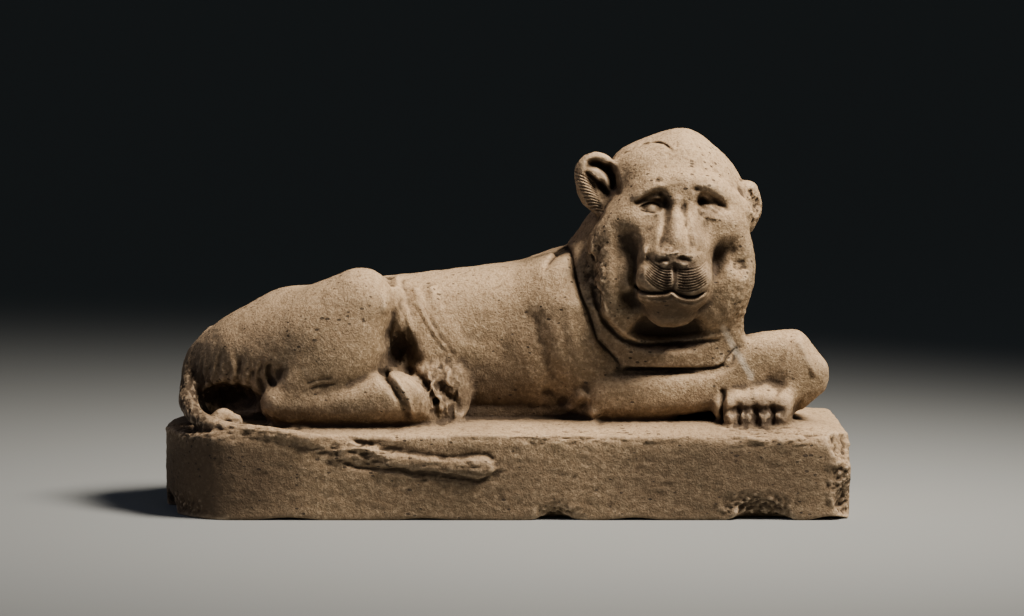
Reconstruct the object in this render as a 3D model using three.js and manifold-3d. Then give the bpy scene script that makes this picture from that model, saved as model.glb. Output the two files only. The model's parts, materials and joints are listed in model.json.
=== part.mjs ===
// A limestone lion lying on its plinth, carved in one block with it.
// The frame is in millimetres: +X is the way the body points, -Y the side the face looks to, +Z up.
// The origin is the centre of the plinth's underside.
// The figure is modelled as clay is: round masses and swept limbs melt together in a field of
// distances, hollows are cut, lines are pressed in, and the skin of the field is the solid.
import * as THREE from "three";
import { edgeTable, triTable } from "three/addons/objects/MarchingCubes.js";
import { mergeVertices } from "three/addons/utils/BufferGeometryUtils.js";
import Module from "manifold-3d";

// The block that the whole work was cut from: its faces bound the plinth and the tail.
const BLOCK = { length: 1060, width: 390, height: 640 };
const FRONT = -BLOCK.width / 2;
const REAR = -BLOCK.length / 2;
const FORE = BLOCK.length / 2;

// The plinth is square in front and rounded behind, and its worn top rises towards the figure.
const PLINTH = { rim: 130, crown: 143, slopeWidth: 80, endReach: 120, wornEdge: 8, faceInset: 8 };

// Levels and depths that the body is set out from.
const BACK = { rump: 338, loin: 358, ribs: 371, withers: 387, crest: 408 };
const FLANK = { middle: 15, halfWidth: 106 };
const HEAD = { x: 270, y: -12, z: 472 };
const FACE = { middle: 273, browLevel: 502, eyeLevel: 473, eyeSpread: 43, eyeDepth: -110 };
const MUZZLE = { x: 260, z: 362, front: -184, halfWidth: 57, lean: 12 };
const RUFF = { x: 258, z: 387, halfWidth: 130, halfHeight: 125, front: -128, back: -20, edge: 44 };
const TOE = { count: 4, radius: 14, pitch: 26 };
const TAIL_RADIUS = 17;

// The grid step of the field, the distance that stands for far away, and the faces kept in the skin.
const STEP = 4;
const FAR = 60;
const FACE_COUNT = 9400;

const wasm = await Module();
wasm.setup();

const { clamp, degToRad, lerp, smoothstep } = THREE.MathUtils;

// Two distances meet in a fillet that reaches as far as the blend.
function smoothMin(a, b, blend) {
  const near = Math.max(blend - Math.abs(a - b), 0) / blend;
  return Math.min(a, b) - (near * near * blend) / 4;
}

// Forms: each has a box that holds it, and a distance that is negative inside

// A mass is an ellipsoid, turned by degrees about X, Y and Z. A power over 2 makes it boxier.
function mass(at, radii, turn = [0, 0, 0], power = 2) {
  const [rx, ry, rz] = radii;
  const centre = new THREE.Vector3(...at);
  const toLocal = new THREE.Matrix4()
    .makeRotationFromEuler(new THREE.Euler(...turn.map(degToRad)))
    .setPosition(centre)
    .invert();
  const local = new THREE.Vector3();
  const reach = 2 * Math.max(...radii);
  return {
    box: new THREE.Box3().setFromCenterAndSize(centre, new THREE.Vector3(reach, reach, reach)),
    distance(x, y, z) {
      local.set(x, y, z).applyMatrix4(toLocal);
      const u = Math.abs(local.x / rx);
      const v = Math.abs(local.y / ry);
      const w = Math.abs(local.z / rz);
      const near = (u ** power + v ** power + w ** power) ** (1 / power);
      const sharp = power - 1;
      const slope = Math.hypot(u ** sharp / rx, v ** sharp / ry, w ** sharp / rz);
      return slope > 0 ? ((near - 1) * near ** sharp) / slope : -Math.min(rx, ry, rz);
    },
  };
}

// A limb is a tube of changing girth along a smooth curve, with round ends.
// A station is [x, y, z, half width across Y, half height]; a round limb leaves out the last.
// A power over 2 makes the section boxier.
function limb(stations, { pieces = 18, power = 2 } = {}) {
  const path = new THREE.CatmullRomCurve3(stations.map((s) => new THREE.Vector3(s[0], s[1], s[2])));
  const girth = new THREE.CatmullRomCurve3(
    stations.map((s) => new THREE.Vector3(s[3], s[4] ?? s[3], 0)),
  );
  const points = path.getPoints(pieces);
  const girths = girth.getPoints(pieces);
  const box = new THREE.Box3().setFromPoints(points);
  box.expandByScalar(Math.max(...girths.map((g) => Math.max(g.x, g.y))));
  return {
    box,
    distance(x, y, z) {
      let nearest = Infinity;
      for (let i = 0; i < pieces; i++) {
        const a = points[i];
        const b = points[i + 1];
        const dx = b.x - a.x;
        const dy = b.y - a.y;
        const dz = b.z - a.z;
        const along = (x - a.x) * dx + (y - a.y) * dy + (z - a.z) * dz;
        const t = clamp(along / (dx * dx + dy * dy + dz * dz), 0, 1);
        const wide = lerp(girths[i].x, girths[i + 1].x, t);
        const tall = lerp(girths[i].y, girths[i + 1].y, t);
        const ox = Math.abs(x - a.x - t * dx) / tall;
        const oy = Math.abs(y - a.y - t * dy) / wide;
        const oz = Math.abs(z - a.z - t * dz) / tall;
        const off = (ox ** power + oy ** power + oz ** power) ** (1 / power);
        nearest = Math.min(nearest, (off - 1) * Math.min(wide, tall));
      }
      return nearest;
    },
  };
}

// A plate has a convex outline in the X Z plane, anticlockwise, and lies between two depths.
function plate(outline, front, back, edge) {
  const corners = outline.map(([x, z]) => new THREE.Vector2(x, z));
  const box = new THREE.Box3().setFromPoints(corners.map((c) => new THREE.Vector3(c.x, front, c.y)));
  box.max.y = back;
  return {
    box,
    distance(x, y, z) {
      let side = -Infinity;
      for (let i = 0; i < corners.length; i++) {
        const a = corners[i];
        const b = corners[(i + 1) % corners.length];
        const out = (x - a.x) * (b.y - a.y) - (z - a.y) * (b.x - a.x);
        side = Math.max(side, out / a.distanceTo(b));
      }
      const depth = Math.abs(y - (front + back) / 2) - (back - front) / 2;
      return -smoothMin(-side, -depth, edge);
    },
  };
}

// What two forms share.
function within(form, bounds) {
  return {
    box: form.box,
    distance: (x, y, z) => Math.max(form.distance(x, y, z), bounds.distance(x, y, z)),
  };
}

// Clay: a grid of distances that forms are added to and cut from

class Clay {
  constructor(box, step) {
    this.step = step;
    this.low = box.min.clone().subScalar(2.5 * step);
    this.count = ["x", "y", "z"].map((axis) => Math.ceil((box.max[axis] - this.low[axis]) / step) + 3);
    this.field = new Float32Array(this.count[0] * this.count[1] * this.count[2]).fill(FAR);
  }

  // Gives each grid point in a box, grown by a margin, a new distance.
  each(box, margin, change) {
    const { low, step, field } = this;
    const [nx, ny, nz] = this.count;
    const first = (axis) => Math.max(0, Math.floor((box.min[axis] - margin - low[axis]) / step));
    const last = (axis, count) =>
      Math.min(count - 1, Math.ceil((box.max[axis] + margin - low[axis]) / step));
    const [x1, y1, z1] = [last("x", nx), last("y", ny), last("z", nz)];
    for (let k = first("z"); k <= z1; k++) {
      for (let j = first("y"); j <= y1; j++) {
        for (let i = first("x"); i <= x1; i++) {
          const at = i + nx * (j + ny * k);
          field[at] = change(field[at], low.x + i * step, low.y + j * step, low.z + k * step);
        }
      }
    }
  }

  add(form, blend = 10) {
    this.each(form.box, blend + 3 * this.step, (was, x, y, z) =>
      smoothMin(was, form.distance(x, y, z), blend),
    );
  }

  cut(form, blend = 6) {
    this.each(form.box, blend + 3 * this.step, (was, x, y, z) =>
      -smoothMin(-was, form.distance(x, y, z), blend),
    );
  }

  // A stroke presses a groove along a path in the X Z plane, from the side that the face looks to.
  // It fades at its ends and before the depth where it stops. A negative depth raises a ridge.
  stroke(path, width, depth, back = 0) {
    const curve = new THREE.CatmullRomCurve3(
      path.map(([x, z]) => new THREE.Vector3(x, FRONT, z)),
      false,
      "centripetal",
    );
    const steps = Math.ceil((2 * curve.getLength()) / width);
    const points = curve.getPoints(steps);
    const box = new THREE.Box3().setFromPoints(points);
    box.max.y = back;
    this.each(box, 3 * width, (was, x, y, z) => {
      let near = Infinity;
      let along = 0;
      for (let n = 0; n <= steps; n++) {
        const away = (x - points[n].x) ** 2 + (z - points[n].z) ** 2;
        if (away < near) [near, along] = [away, n / steps];
      }
      const ends = smoothstep(Math.min(along, 1 - along), -0.02, 0.15);
      const reach = 1 - smoothstep(y, back - 25, back);
      return was + depth * ends * reach * Math.exp(-near / width ** 2);
    });
  }

  // The skin where the distance is zero, by marching cubes. A crossing on a grid edge is one vertex.
  skin() {
    const { field, step, low } = this;
    const [nx, ny, nz] = this.count;
    const up = nx * ny;
    const corner = [0, 1, 1 + nx, nx, up, 1 + up, 1 + nx + up, nx + up];
    const edgeStart = [0, 1, 3, 0, 4, 5, 7, 4, 0, 1, 2, 3];
    const edgeAxis = [0, 1, 0, 1, 0, 1, 0, 1, 2, 2, 2, 2];
    const stride = [1, nx, up];
    const crossings = new Map();
    const places = [];
    const faces = [];
    const crossing = (cell, edge) => {
      const axis = edgeAxis[edge];
      const a = cell + corner[edgeStart[edge]];
      const key = a * 3 + axis;
      if (!crossings.has(key)) {
        const at = [a % nx, Math.floor(a / nx) % ny, Math.floor(a / up)];
        at[axis] += field[a] / (field[a] - field[a + stride[axis]]);
        crossings.set(key, places.length / 3);
        places.push(low.x + at[0] * step, low.y + at[1] * step, low.z + at[2] * step);
      }
      return crossings.get(key);
    };
    for (let k = 0; k < nz - 1; k++) {
      for (let j = 0; j < ny - 1; j++) {
        for (let i = 0; i < nx - 1; i++) {
          const cell = i + nx * j + up * k;
          let kind = 0;
          for (let c = 0; c < 8; c++) if (field[cell + corner[c]] < 0) kind |= 1 << c;
          if (edgeTable[kind] === 0) continue;
          for (let t = 16 * kind; triTable[t] !== -1; t += 3) {
            for (const n of [0, 2, 1]) faces.push(crossing(cell, triTable[t + n]));
          }
        }
      }
    }
    return { places: Float64Array.from(places), faces: Int32Array.from(faces) };
  }
}

// Fewer faces: edges collapse in the order that moves the skin least

// A heap of the edges that wait to collapse, with the cheapest on top.
class Heap {
  items = [];

  push(item) {
    let at = this.items.push(item) - 1;
    while (at > 0) {
      const parent = (at - 1) >> 1;
      if (this.items[parent].cost <= item.cost) break;
      this.items[at] = this.items[parent];
      at = parent;
    }
    this.items[at] = item;
  }

  pop() {
    const { items } = this;
    const top = items[0];
    const last = items.pop();
    if (items.length === 0) return top;
    let at = 0;
    for (let child = 1; child < items.length; child = 2 * at + 1) {
      if (child + 1 < items.length && items[child + 1].cost < items[child].cost) child++;
      if (items[child].cost >= last.cost) break;
      items[at] = items[child];
      at = child;
    }
    items[at] = last;
    return top;
  }
}

// Keeps about the wanted number of faces, with more of them where the worth is high.
function simplify({ places, faces }, wanted, worthAt) {
  const vertexCount = places.length / 3;
  const faceCount = faces.length / 3;
  const place = (v) => new THREE.Vector3(places[3 * v], places[3 * v + 1], places[3 * v + 2]);
  const cornersOf = (f) => [faces[3 * f], faces[3 * f + 1], faces[3 * f + 2]];
  const facesOf = Array.from({ length: vertexCount }, () => []);
  const errors = Array.from({ length: vertexCount }, () => new Float64Array(10));
  const changes = new Int32Array(vertexCount);
  const gone = new Uint8Array(faceCount);
  const heap = new Heap();

  // The error of a place is its squared distance from the planes of the faces merged there.
  for (let f = 0; f < faceCount; f++) {
    const [a, b, c] = cornersOf(f).map(place);
    const normal = b.clone().sub(a).cross(c.sub(a));
    const weight = (normal.length() / 2) * worthAt(a);
    const { x, y, z } = normal.normalize();
    const w = -normal.dot(a);
    const terms = [x * x, x * y, x * z, x * w, y * y, y * z, y * w, z * z, z * w, w * w];
    for (const v of cornersOf(f)) {
      facesOf[v].push(f);
      for (let n = 0; n < 10; n++) errors[v][n] += weight * terms[n];
    }
  }

  const errorAt = (q, { x, y, z }) => {
    const squares = q[0] * x * x + q[4] * y * y + q[7] * z * z;
    const products = q[1] * x * y + q[2] * x * z + q[5] * y * z;
    return squares + 2 * (products + q[3] * x + q[6] * y + q[8] * z) + q[9];
  };
  const neighbours = (v) => new Set(facesOf[v].flatMap(cornersOf).filter((other) => other !== v));

  // The merged vertex goes where its error is least, or else to an end or the middle of the edge.
  function queue(a, b) {
    const q = errors[a].map((term, n) => term + errors[b][n]);
    const pa = place(a);
    const pb = place(b);
    const middle = pa.clone().lerp(pb, 0.5);
    const choices = [middle, pa, pb];
    const system = new THREE.Matrix3().set(q[0], q[1], q[2], q[1], q[4], q[5], q[2], q[5], q[7]);
    if (system.determinant() > 1e-4 * (q[0] + q[4] + q[7]) ** 3) {
      const best = new THREE.Vector3(-q[3], -q[6], -q[8]).applyMatrix3(system.invert());
      if (best.distanceTo(middle) < pa.distanceTo(pb)) choices.push(best);
    }
    let to = middle;
    for (const choice of choices) if (errorAt(q, choice) < errorAt(q, to)) to = choice;
    const cost = errorAt(q, to) + 1e-3 * pa.distanceToSquared(pb);
    heap.push({ cost, a, b, to, stamp: changes[a] + changes[b] });
  }

  // A collapse may not fold the skin over, nor pinch it.
  function allowed({ a, b, to }) {
    const others = neighbours(b);
    if ([...neighbours(a)].filter((v) => others.has(v)).length !== 2) return false;
    for (const [moved, fixed] of [[a, b], [b, a]]) {
      for (const f of facesOf[moved]) {
        const corners = cornersOf(f);
        if (corners.includes(fixed)) continue;
        const before = corners.map(place);
        const after = corners.map((v, n) => (v === moved ? to : before[n]));
        const [was, is] = [before, after].map(([p, q, r]) => q.clone().sub(p).cross(r.clone().sub(p)));
        if (was.dot(is) <= 0.3 * was.length() * is.length()) return false;
      }
    }
    return true;
  }

  for (let f = 0; f < faceCount; f++) {
    const corners = cornersOf(f);
    corners.forEach((a, n) => {
      const b = corners[(n + 1) % 3];
      if (a < b) queue(a, b);
    });
  }

  let left = faceCount;
  while (left > wanted && heap.items.length > 0) {
    const edge = heap.pop();
    const { a, b, to, stamp } = edge;
    if (facesOf[a].length === 0 || facesOf[b].length === 0) continue;
    if (stamp !== changes[a] + changes[b] || !allowed(edge)) continue;
    places.set([to.x, to.y, to.z], 3 * a);
    for (let n = 0; n < 10; n++) errors[a][n] += errors[b][n];
    for (const f of facesOf[b]) {
      if (cornersOf(f).includes(a)) {
        gone[f] = 1;
        left--;
        for (const v of cornersOf(f)) if (v !== b) facesOf[v] = facesOf[v].filter((g) => g !== f);
      } else {
        for (let n = 3 * f; n < 3 * f + 3; n++) if (faces[n] === b) faces[n] = a;
        facesOf[a].push(f);
      }
    }
    facesOf[b] = [];
    changes[a]++;
    for (const v of neighbours(a)) queue(a, v);
  }
  return { places, faces: faces.filter((v, n) => !gone[Math.floor(n / 3)]) };
}

// Plinth

// The plan has straight sides, a square fore end and an elliptical rear end.
function planDistance(x, y, inset) {
  const start = REAR + PLINTH.endReach;
  if (x > start) return Math.max(x - FORE, Math.abs(y) + FRONT + inset);
  const halfWidth = -FRONT - inset;
  const u = (x - start) / PLINTH.endReach;
  const v = y / halfWidth;
  const near = Math.hypot(u, v);
  return (near * (near - 1)) / Math.max(Math.hypot(u / PLINTH.endReach, v / halfWidth), 1e-6);
}

// It reaches a step too low, and is trimmed flat with the block.
function plinth() {
  const { rim, crown, slopeWidth, wornEdge, faceInset } = PLINTH;
  return {
    box: new THREE.Box3(new THREE.Vector3(REAR, FRONT, -STEP), new THREE.Vector3(FORE, -FRONT, crown)),
    distance(x, y, z) {
      const plan = planDistance(x, y, y < 0 ? faceInset : 0);
      const top = lerp(rim, crown, clamp(-plan / slopeWidth, 0, 1));
      return Math.max(-smoothMin(-plan, top - z, wornEdge), -STEP - z);
    },
  };
}

// Body

function addTrunk(clay) {
  const { middle, halfWidth } = FLANK;
  const station = (x, top, half, breadth) => [x, middle, top - half, halfWidth * breadth, half];
  const trunk = limb(
    [
      station(-290, BACK.rump, 108, 1.05),
      station(-180, BACK.loin, 118, 1.0),
      station(-60, BACK.ribs, 124, 0.97),
      station(60, BACK.withers, 130, 1.0),
      station(160, BACK.crest, 138, 1.04),
      station(230, BACK.crest, 138, 1.04),
    ],
    { power: 2.5 },
  );
  clay.add(trunk, 4);
  for (const side of [-1, 1]) {
    clay.add(mass([86, middle + side * 58, 284], [62, 56, 108], [0, 8, 0]), 40);
  }
}

// The hindquarters roll over, so that the right knee stands highest and both feet lie on this side.
function addHindquarters(clay) {
  const rump = limb([
    [-424, 15, 200, 100, 84],
    [-330, 15, 230, 122, 108],
  ]);
  const thigh = limb([
    [-388, -28, 228, 82],
    [-298, -58, 258, 84],
    [-222, -84, 322, 57],
  ]);
  const shank = limb([
    [-216, -96, 308, 40],
    [-246, -98, 246, 56],
    [-316, -106, 200, 42],
  ]);
  clay.add(rump, 30);
  clay.add(mass([-296, 84, 236], [104, 58, 92], [0, -20, 0]), 30);
  clay.add(thigh, 26);
  clay.add(shank, 22);
  clay.cut(mass([-424, -116, 176], [52, 80, 26], [0, 6, 0]), 10);
  clay.cut(mass([-354, -146, 212], [12, 26, 26], [0, 35, 0]), 10);
  clay.cut(mass([-164, -124, 250], [20, 50, 48], [0, 24, 0]), 8);
  clay.stroke([[-184, 368], [-172, 335], [-174, 300], [-188, 255]], 8, 9, 20);
}

// The loose skin of the flank hangs in folds from the knee to the belly.
function addFlankFolds(clay) {
  const fold = [
    [-166, -66, 338, 4],
    [-152, -84, 290, 8],
    [-118, -90, 246, 10],
    [-40, -70, 212, 5],
  ];
  for (const shift of [0, 28, 52]) {
    const moved = ([x, y, z, r]) => [x + shift, y + 0.1 * shift, z + 0.3 * shift, r - 0.07 * shift];
    clay.add(limb(fold.map(moved)), 16);
  }
}

// The toes lie one behind the other, so that their creases curve down across the foot's end.
function addHindFoot(clay) {
  const instep = limb([
    [-346, -120, 171, 29, 29],
    [-290, -124, 170, 29, 28],
    [-222, -126, 175, 32, 33],
    [-180, -124, 182, 38, 40],
    [-142, -116, 180, 38, 40],
    [-114, -104, 168, 30, 30],
  ]);
  clay.add(instep, 10);
  clay.stroke([[-190, 222], [-168, 200], [-152, 176], [-146, 148]], 5, 11, -60);
  clay.stroke([[-158, 230], [-130, 208], [-112, 184], [-106, 148]], 5, 11, -50);
  clay.add(mass([-432, -128, 152], [17, 17, 15]), 5);
  clay.add(mass([-414, -134, 147], [14, 12, 11]), 5);
}

// A scatter between 0 and 1 that is the same each time.
function scatter(n) {
  const mixed = Math.sin(n * 127.1 + 11.7) * 43758.5453;
  return mixed - Math.floor(mixed);
}

// Beside the toes the other hind paw and the belly are broken away to a rough stump.
function addBrokenPaw(clay) {
  clay.add(mass([-92, -80, 184], [40, 38, 52], [10, 25, 15]), 8);
  clay.add(mass([-112, -84, 216], [32, 26, 24], [30, 0, 40]), 8);
  clay.add(mass([-70, -90, 168], [17, 18, 30], [0, 20, 30]), 6);
  const pitCount = 14;
  for (let pit = 0; pit < pitCount; pit++) {
    const size = 7 + 7 * scatter(pit + 40);
    const at = [-132 + (80 * pit) / pitCount, -122 + 8 * scatter(pit + 80), 158 + 80 * scatter(pit)];
    clay.cut(mass(at, [size, 14, 0.7 * size], [0, 90 * scatter(pit), 0]), 3);
  }
}

// The tail comes round the rump, along the plinth's edge and down its face, to a tuft.
function addTail(clay) {
  const r = TAIL_RADIUS;
  const top = PLINTH.crown;
  const face = FRONT + 10;
  const tail = limb(
    [
      [-456, 44, 256, r + 6],
      [-476, 0, 232, r + 1],
      [-488, -50, 198, r - 1],
      [-486, -95, top + 22, r - 2],
      [-462, -134, top + 3, r - 4],
      [-418, -166, top - 5, r - 6],
      [-360, -180, top - 9, r - 7],
      [-300, face, 126, r - 7],
      [-230, face, 107, r - 6],
      [-150, face, 90, r - 5],
      [-80, face, 82, r - 4],
      [-46, face, 81, r],
      [-30, face, 81, r],
    ],
    { pieces: 60 },
  );
  clay.add(tail, 5);
}

// Forelegs: the right one, nearer the face, lies over the left, whose paw comes out under it.
function addForelegs(clay) {
  const breast = limb([
    [140, 15, 215, 88, 85],
    [290, 8, 222, 92, 88],
    [335, 0, 205, 72, 70],
  ]);
  clay.add(breast, 20);
  for (const side of [-1, 1]) {
    const y = FLANK.middle + side * 84;
    const upperArm = limb([
      [106, y - side * 6, 300, 44],
      [124, y, 232, 42],
      [152, y, 184, 39],
    ]);
    clay.add(upperArm, 30);
  }
  const leftForearm = limb([
    [170, 104, 182, 38],
    [270, 80, 178, 36],
    [345, 24, 172, 34],
    [388, -30, 168, 33],
    [396, -80, 166, 32],
  ]);
  const rightForearm = limb(
    [
      [160, -78, 180, 40, 37],
      [250, -80, 183, 38, 35],
      [325, -76, 198, 37, 37],
      [398, -66, 234, 40, 42],
      [446, -58, 237, 42, 42],
    ],
    { power: 2.8 },
  );
  clay.add(leftForearm, 14);
  addLeftPaw(clay);
  clay.add(rightForearm, 7);
  addRightPaw(clay);
}

function addLeftPaw(clay) {
  clay.add(mass([396, -84, 166], [55, 44, 37], [0, 0, 0], 2.3), 8);
  for (let toe = 0; toe < TOE.count; toe++) {
    const x = 359 + TOE.pitch * toe;
    const joint = limb([
      [x, -96, 184, TOE.radius - 1],
      [x, -118, 173, TOE.radius],
      [x, -126, 148, TOE.radius - 1],
    ]);
    clay.add(joint, 4);
  }
  clay.add(mass([334, -100, 168], [13, 20, 23]), 4);
}

// The right paw hangs over the wrist below it, with its toes turned forward.
function addRightPaw(clay) {
  clay.add(mass([452, -50, 222], [46, 58, 58], [0, 24, 0]), 14);
  clay.add(mass([452, -54, 192], [38, 52, 36], [0, -20, 0]), 16);
  for (let toe = 0; toe < TOE.count; toe++) {
    const y = -80 + 24 * toe;
    const joint = limb([
      [466, y, 252, TOE.radius],
      [488, y, 212, TOE.radius + 1],
      [470, y, 172, TOE.radius],
    ]);
    clay.add(joint, 14);
  }
}

// Mane: it wraps the neck and ends in a bib with cut corners, and the ruff stands out round the face

const BIB = [
  [184, 224],
  [343, 226],
  [372, 264],
  [366, 370],
  [134, 370],
  [118, 338],
  [138, 290],
];

function addMane(clay) {
  const { x, z, front, back, halfWidth, halfHeight, edge } = RUFF;
  const swell = mass([262, 5, 330], [215, 119, 320]);
  const sides = 28;
  const rim = Array.from({ length: sides }, (unused, n) => {
    const angle = (n / sides) * 2 * Math.PI;
    return [x + halfWidth * Math.cos(angle), z + halfHeight * Math.sin(angle)];
  });
  clay.add(mass([236, 8, 356], [140, 112, 150]), 26);
  clay.add(within(plate(BIB, -130, 0, 10), swell), 6);
  clay.add(plate(rim, front, back, edge), 6);
}

// Head

// What comes in pairs is set out from the middle of the face, side -1 to the left and 1 to the right.
function bothSides(make) {
  for (const side of [-1, 1]) make(side, (out) => FACE.middle + side * out);
}

function addSkull(clay) {
  const { x, y, z } = HEAD;
  clay.add(mass([x, y, z], [108, 110, 98]), 14);
  clay.add(mass([x - 12, y, z + 40], [100, 98, 68], [0, 4, 0]), 20);
  clay.add(mass([x + 8, y - 3, z + 80], [30, 60, 34]), 40);
}

// Below the cheekbones the ruff hangs in two lobes, with hollows between them and the muzzle.
function addCheeks(clay) {
  bothSides((side, at) => {
    const cheekbone = limb([
      [at(88), -74, 462, 24],
      [at(58), -96, 446, 28],
      [at(38), -104, 416, 26],
    ]);
    clay.add(cheekbone, 18);
  });
  const leftHollow = limb([
    [187, -140, 430, 28, 9],
    [191, -142, 404, 42, 15],
    [196, -140, 372, 42, 13],
    [197, -136, 338, 36, 10],
  ]);
  const leftLobe = limb([
    [158, -86, 418, 25],
    [168, -96, 372, 31],
    [172, -98, 325, 33],
    [190, -92, 288, 26],
  ]);
  const rightHollow = limb([
    [322, -148, 376, 32, 7],
    [331, -150, 402, 40, 13],
    [348, -148, 408, 40, 13],
    [362, -136, 386, 26, 7],
  ]);
  const rightLobe = limb([
    [354, -84, 392, 27],
    [348, -98, 352, 34],
    [334, -92, 308, 30],
  ]);
  clay.add(leftLobe, 12);
  clay.add(rightLobe, 12);
  clay.cut(leftHollow, 30);
  clay.cut(rightHollow, 20);
  clay.cut(mass([254, -138, 286], [60, 58, 33]), 10);
  clay.stroke([[152, 432], [141, 400], [139, 370], [144, 340], [154, 312]], 7, 12, -50);
}

function addMuzzle(clay) {
  const { x, z, front, halfWidth, lean } = MUZZLE;
  const bridge = limb(
    [
      [FACE.middle + 2, -100, 508, 20, 13],
      [FACE.middle, -112, 464, 24, 20],
      [FACE.middle - 6, -126, 430, 32, 41],
      [x + 2, -134, 400, 44, 56],
    ],
    { power: 2.1 },
  );
  clay.add(mass([x, front + 66, z], [halfWidth, 62, 45], [lean, 0, 0], 2.8), 10);
  clay.add(bridge, 12);
  for (const side of [-1, 1]) {
    clay.add(mass([x + side * 27, front + 36, z + 3], [31, 34, 34], [lean, 0, 0], 2.4), 6);
  }
  clay.add(mass([x - 3, front + 66, 328], [42, 46, 37], [lean, 0, 0], 2.3), 6);
  clay.add(mass([x + 1, front + 16, 400], [32, 16, 14], [lean, 0, 0], 2.6), 6);
}

function addEyesAndBrows(clay) {
  bothSides((side, at) => {
    const brow = limb([
      [at(14), -108, FACE.browLevel + 6, 13],
      [at(42), -108, FACE.browLevel + 3, 15],
      [at(74), -90, FACE.browLevel - 16, 12],
    ]);
    clay.add(brow, 24);
    clay.cut(mass([at(FACE.eyeSpread), -128, FACE.eyeLevel + 6], [23, 23, 10], [0, side * 10, 0]), 8);
    clay.add(mass([at(FACE.eyeSpread + 2), FACE.eyeDepth, FACE.eyeLevel], [14, 10, 8]), 2);
  });
}

function carveMouthAndNose(clay) {
  const { x, front } = MUZZLE;
  for (const out of [-20, 16]) clay.cut(mass([x + out, front - 4, 398], [9, 10, 6]), 4);
  const mouth = [
    [201, 357],
    [213, 349],
    [246, 347],
    [257, 352],
    [268, 344],
    [288, 340],
    [310, 351],
  ];
  const lip = mouth.map(([px, pz]) => [px, pz - 11]);
  clay.stroke(mouth, 5, 7, -90);
  clay.stroke(lip, 5, -5, -90);
  clay.stroke([[x + 1, 392], [x + 1, 356]], 4, 6, -140);
}

// The left ear is an open bowl with a tuft across it; the right one has lost its upper edge.
function addEars(clay) {
  const leftEar = limb([
    [147, -44, 468, 14, 11],
    [141, -47, 496, 18, 28],
    [142, -49, 523, 20, 34],
  ]);
  const bowl = limb([
    [153, -72, 492, 22, 13],
    [146, -76, 525, 28, 26],
  ]);
  const tuft = limb([
    [127, -54, 541, 6],
    [144, -54, 526, 9],
    [162, -50, 506, 6],
  ]);
  clay.add(leftEar, 6);
  clay.cut(bowl, 4);
  clay.add(tuft, 3);
  const rightEar = limb([
    [380, -30, 438, 16, 9],
    [385, -34, 470, 26, 17],
    [378, -32, 494, 28, 18],
  ]);
  clay.add(rightEar, 6);
  clay.cut(mass([396, -64, 474], [10, 22, 24]), 4);
}

// Lines and wear

const MANE_EDGE = [
  [58, 366],
  [76, 388],
  [100, 402],
  [109, 376],
  [118, 338],
  [136, 294],
  [152, 260],
  [184, 224],
];

function carveLines(clay) {
  clay.stroke(MANE_EDGE, 5, 8, 40);
  clay.stroke([[128, 400], [136, 350], [164, 288], [204, 262], [260, 258], [318, 264]], 6, 8, -40);
  clay.stroke([[176, 223], [342, 226], [362, 258]], 5, 6, -60);
  for (const [x, lean, depth] of [[36, 40, 3], [74, 26, 3], [114, 14, 5]]) {
    clay.stroke([[x, 325], [x + lean / 2, 250], [x + lean, 178]], 17, depth, -20);
  }
}

// Chips and breaks along the plinth's edges.
function chipPlinth(clay) {
  const chips = [
    [[75, FRONT, -6], [60, 18, 20], [0, -8, 0]],
    [[395, FRONT - 2, 0], [52, 24, 32], [0, 12, 5]],
    [[FORE + 6, FRONT + 2, 24], [28, 36, 36], [10, 0, 20]],
    [[FORE + 10, FRONT - 2, 118], [44, 52, 34], [0, 20, 30]],
    [[430, FRONT - 4, 140], [100, 32, 16], [8, 3, 0]],
    [[310, FRONT - 2, 138], [28, 22, 13], [12, 10, 0]],
    [[REAR + 4, -70, 4], [26, 60, 26], [0, 0, 0]],
    [[-262, FRONT - 6, 119], [34, 14, 14], [0, 12, 0]],
    [[-214, FRONT - 6, 99], [36, 13, 10], [0, 14, 0]],
  ];
  for (const [at, radii, turn] of chips) clay.cut(mass(at, radii, turn), 5);
}

// The solid

function carve() {
  const corner = new THREE.Vector3(REAR, FRONT, 0);
  const clay = new Clay(new THREE.Box3(corner, new THREE.Vector3(FORE, -FRONT, BLOCK.height)), STEP);
  addTrunk(clay);
  addHindquarters(clay);
  addFlankFolds(clay);
  addForelegs(clay);
  addMane(clay);
  addSkull(clay);
  addCheeks(clay);
  addMuzzle(clay);
  addEyesAndBrows(clay);
  addEars(clay);
  clay.add(plinth(), 6);
  addHindFoot(clay);
  addBrokenPaw(clay);
  addTail(clay);
  carveMouthAndNose(clay);
  carveLines(clay);
  chipPlinth(clay);
  return clay.skin();
}

// The face and the feet keep more of the faces than the plain back and plinth.
function worth({ x, y, z }) {
  if (y > -50 || z < 130) return 1;
  return x > 110 && z > 250 ? 12 : 3;
}

function solidOf(geometry) {
  const vertProperties = geometry.attributes.position.array;
  const triVerts = new Uint32Array(geometry.index.array);
  return new wasm.Manifold(new wasm.Mesh({ numProp: 3, vertProperties, triVerts }));
}

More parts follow.
